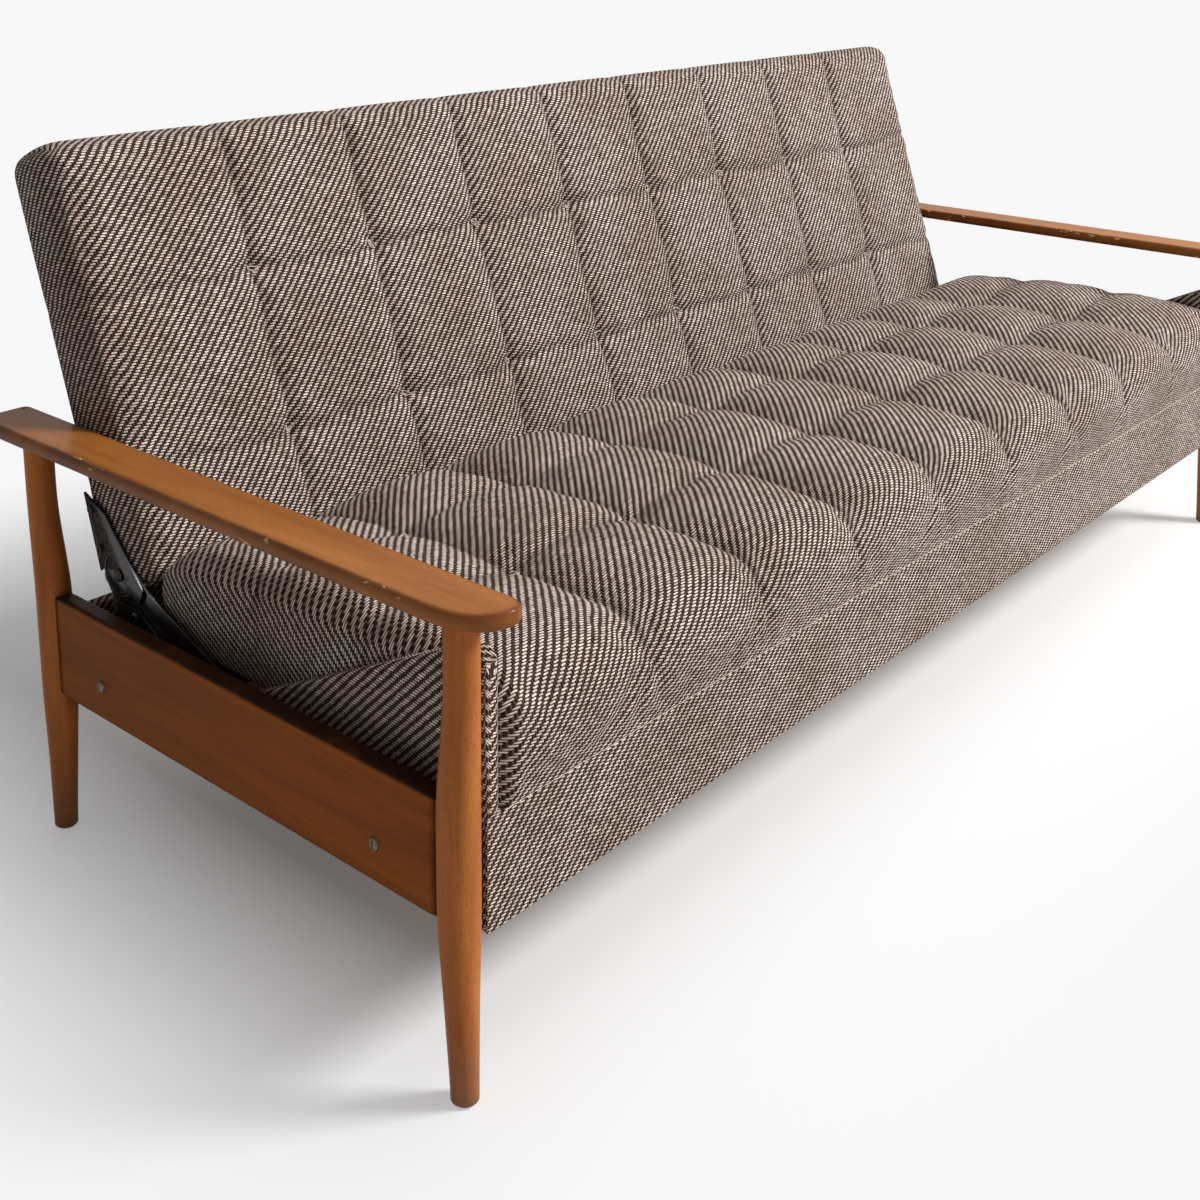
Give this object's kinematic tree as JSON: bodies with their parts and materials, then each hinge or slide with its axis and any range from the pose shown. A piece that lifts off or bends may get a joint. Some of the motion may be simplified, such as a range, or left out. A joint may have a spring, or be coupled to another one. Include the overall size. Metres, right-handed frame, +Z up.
{
  "type": "click clack sofa bed",
  "caption": "Click-clack sofa bed: open beech arms and turned legs, a tufted seat that lifts off a bedding box and a tufted back that notches down level with it.",
  "frame": {"origin": "on the floor under the middle of the sofa", "axes": "+X along the seat towards the right arm seen from behind the back, +Y from the front to the back, +Z up"},
  "size_m": [2.068, 0.8662, 0.8579],
  "materials": {
    "beech": "amber lacquer, semi-gloss",
    "pine": "planed, unfinished",
    "hardboard": "smooth pressed board",
    "twill": "coarse two-colour twill, dark brown and cream",
    "enamel": "black gloss enamel",
    "steel": "dull plated",
    "spring_steel": "oiled spring wire"
  },
  "bodies": {
    "frame": {"front_leg_left": "beech", "front_leg_right": "beech", "rear_leg_left": "beech", "rear_leg_right": "beech", "armrest_left": "beech", "armrest_right": "beech", "side_rail_left": "beech", "side_rail_right": "beech", "rail_bolt_front_left": "steel", "rail_bolt_front_right": "steel", "rail_bolt_rear_left": "steel", "rail_bolt_rear_right": "steel", "rail_spacer_left": "pine", "rail_spacer_right": "pine", "hinge_bracket_left": "enamel", "hinge_bracket_right": "enamel", "seat_pivot_pin_left": "steel", "seat_pivot_pin_right": "steel", "box_end_board_left": "pine", "box_end_board_right": "pine", "box_end_cover_left": "twill", "box_end_cover_right": "twill", "box_front_board": "pine", "box_front_cover": "twill", "box_rear_board": "pine", "box_rear_cover": "twill", "box_floor": "hardboard", "floor_bearer": "pine"},
    "seat": {"seat_cushion": "twill", "seat_frame_front": "pine", "seat_frame_rear": "pine", "seat_frame_end_left": "pine", "seat_frame_end_right": "pine", "seat_cross_rail_left": "pine", "seat_cross_rail_right": "pine", "seat_arm_left": "enamel", "seat_arm_right": "enamel", "back_pivot_pin_left": "steel", "back_pivot_pin_right": "steel", "pawl_pin_left": "steel", "pawl_pin_right": "steel", "pawl_spring_left": "spring_steel", "pawl_spring_right": "spring_steel"},
    "back": {"back_cushion": "twill", "back_frame_top": "pine", "back_frame_bottom": "pine", "back_frame_end_left": "pine", "back_frame_end_right": "pine", "back_frame_post": "pine", "back_rear_panel": "hardboard", "back_arm_left": "enamel", "back_arm_right": "enamel", "back_arm_screw_1_left": "steel", "back_arm_screw_1_right": "steel", "back_arm_screw_2_left": "steel", "back_arm_screw_2_right": "steel"},
    "left_pawl": {"pawl_left": "enamel"},
    "right_pawl": {"pawl_right": "enamel"}
  },
  "joints": [
    {"name": "seat_lift", "type": "hinge", "parent": "frame", "child": "seat", "pos_m": [0, 0.28845, 0.2758], "axis": [-1, 0, 0], "range_deg": [0, 36]},
    {"name": "back_recline", "type": "hinge", "parent": "seat", "child": "back", "pos_m": [0, 0.2263, 0.36], "axis": [-1, 0, 0], "range_deg": [0, 71.25]},
    {"name": "left_pawl_turn", "type": "hinge", "parent": "seat", "child": "left_pawl", "pos_m": [-0.96825, 0.19456, 0.31619], "axis": [-1, 0, 0], "range_deg": [0, 28.5], "deforming": ["pawl_spring_left"]},
    {"name": "right_pawl_turn", "type": "hinge", "parent": "seat", "child": "right_pawl", "pos_m": [0.96825, 0.19456, 0.31619], "axis": [-1, 0, 0], "range_deg": [0, 28.5], "deforming": ["pawl_spring_right"]}
  ],
  "couplings": [
    {"joint": "left_pawl_turn", "follows": "back_recline", "ratio": 0.4},
    {"joint": "right_pawl_turn", "follows": "back_recline", "ratio": 0.4}
  ]
}
